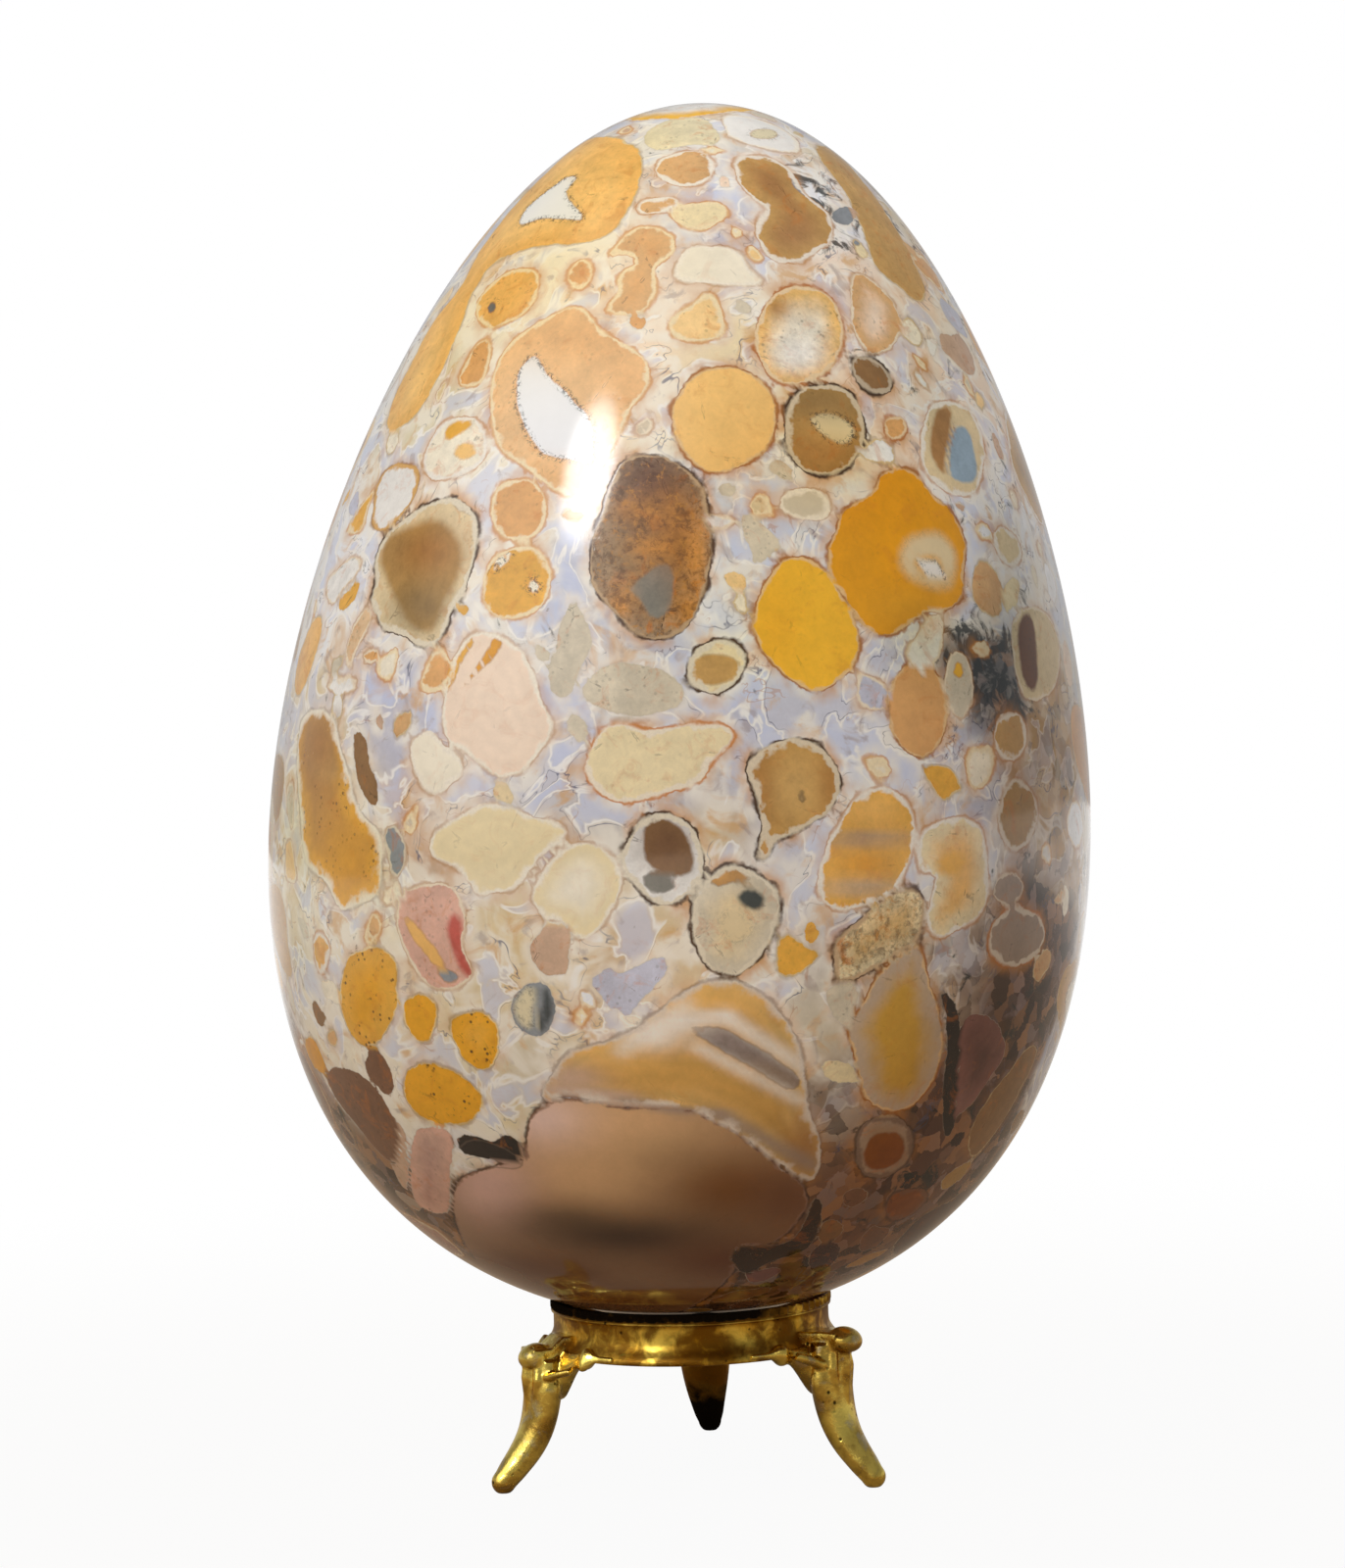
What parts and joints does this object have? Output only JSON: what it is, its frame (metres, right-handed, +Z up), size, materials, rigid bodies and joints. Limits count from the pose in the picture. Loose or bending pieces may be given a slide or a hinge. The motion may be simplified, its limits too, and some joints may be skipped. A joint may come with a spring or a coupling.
{
  "type": "decorative egg on stand",
  "caption": "Polished pebbled stone egg resting loose in a small brass ring stand with splayed cast legs, made to show the stone upright on a shelf.",
  "frame": {"origin": "on the table, on the axis of the seat ring", "axes": "+Z up, -Y towards the viewer, +X to the viewer's right; the rear leg points along +Y and the egg leans towards +X"},
  "size_m": [0.0807, 0.0806, 0.1342],
  "materials": {
    "stone": "polished",
    "ring_brass": "polished, slightly tarnished",
    "leg_brass": "polished casting"
  },
  "bodies": {
    "stand": {"seat_ring": "ring_brass", "leg_front_left": "leg_brass", "leg_front_right": "leg_brass", "leg_rear": "leg_brass"},
    "egg": {"stone_egg": "stone"}
  },
  "joints": [
    {"name": "egg_lift", "type": "slide", "parent": "stand", "child": "egg", "axis": [0, 0, 1], "range_m": [0, 0.03]}
  ]
}
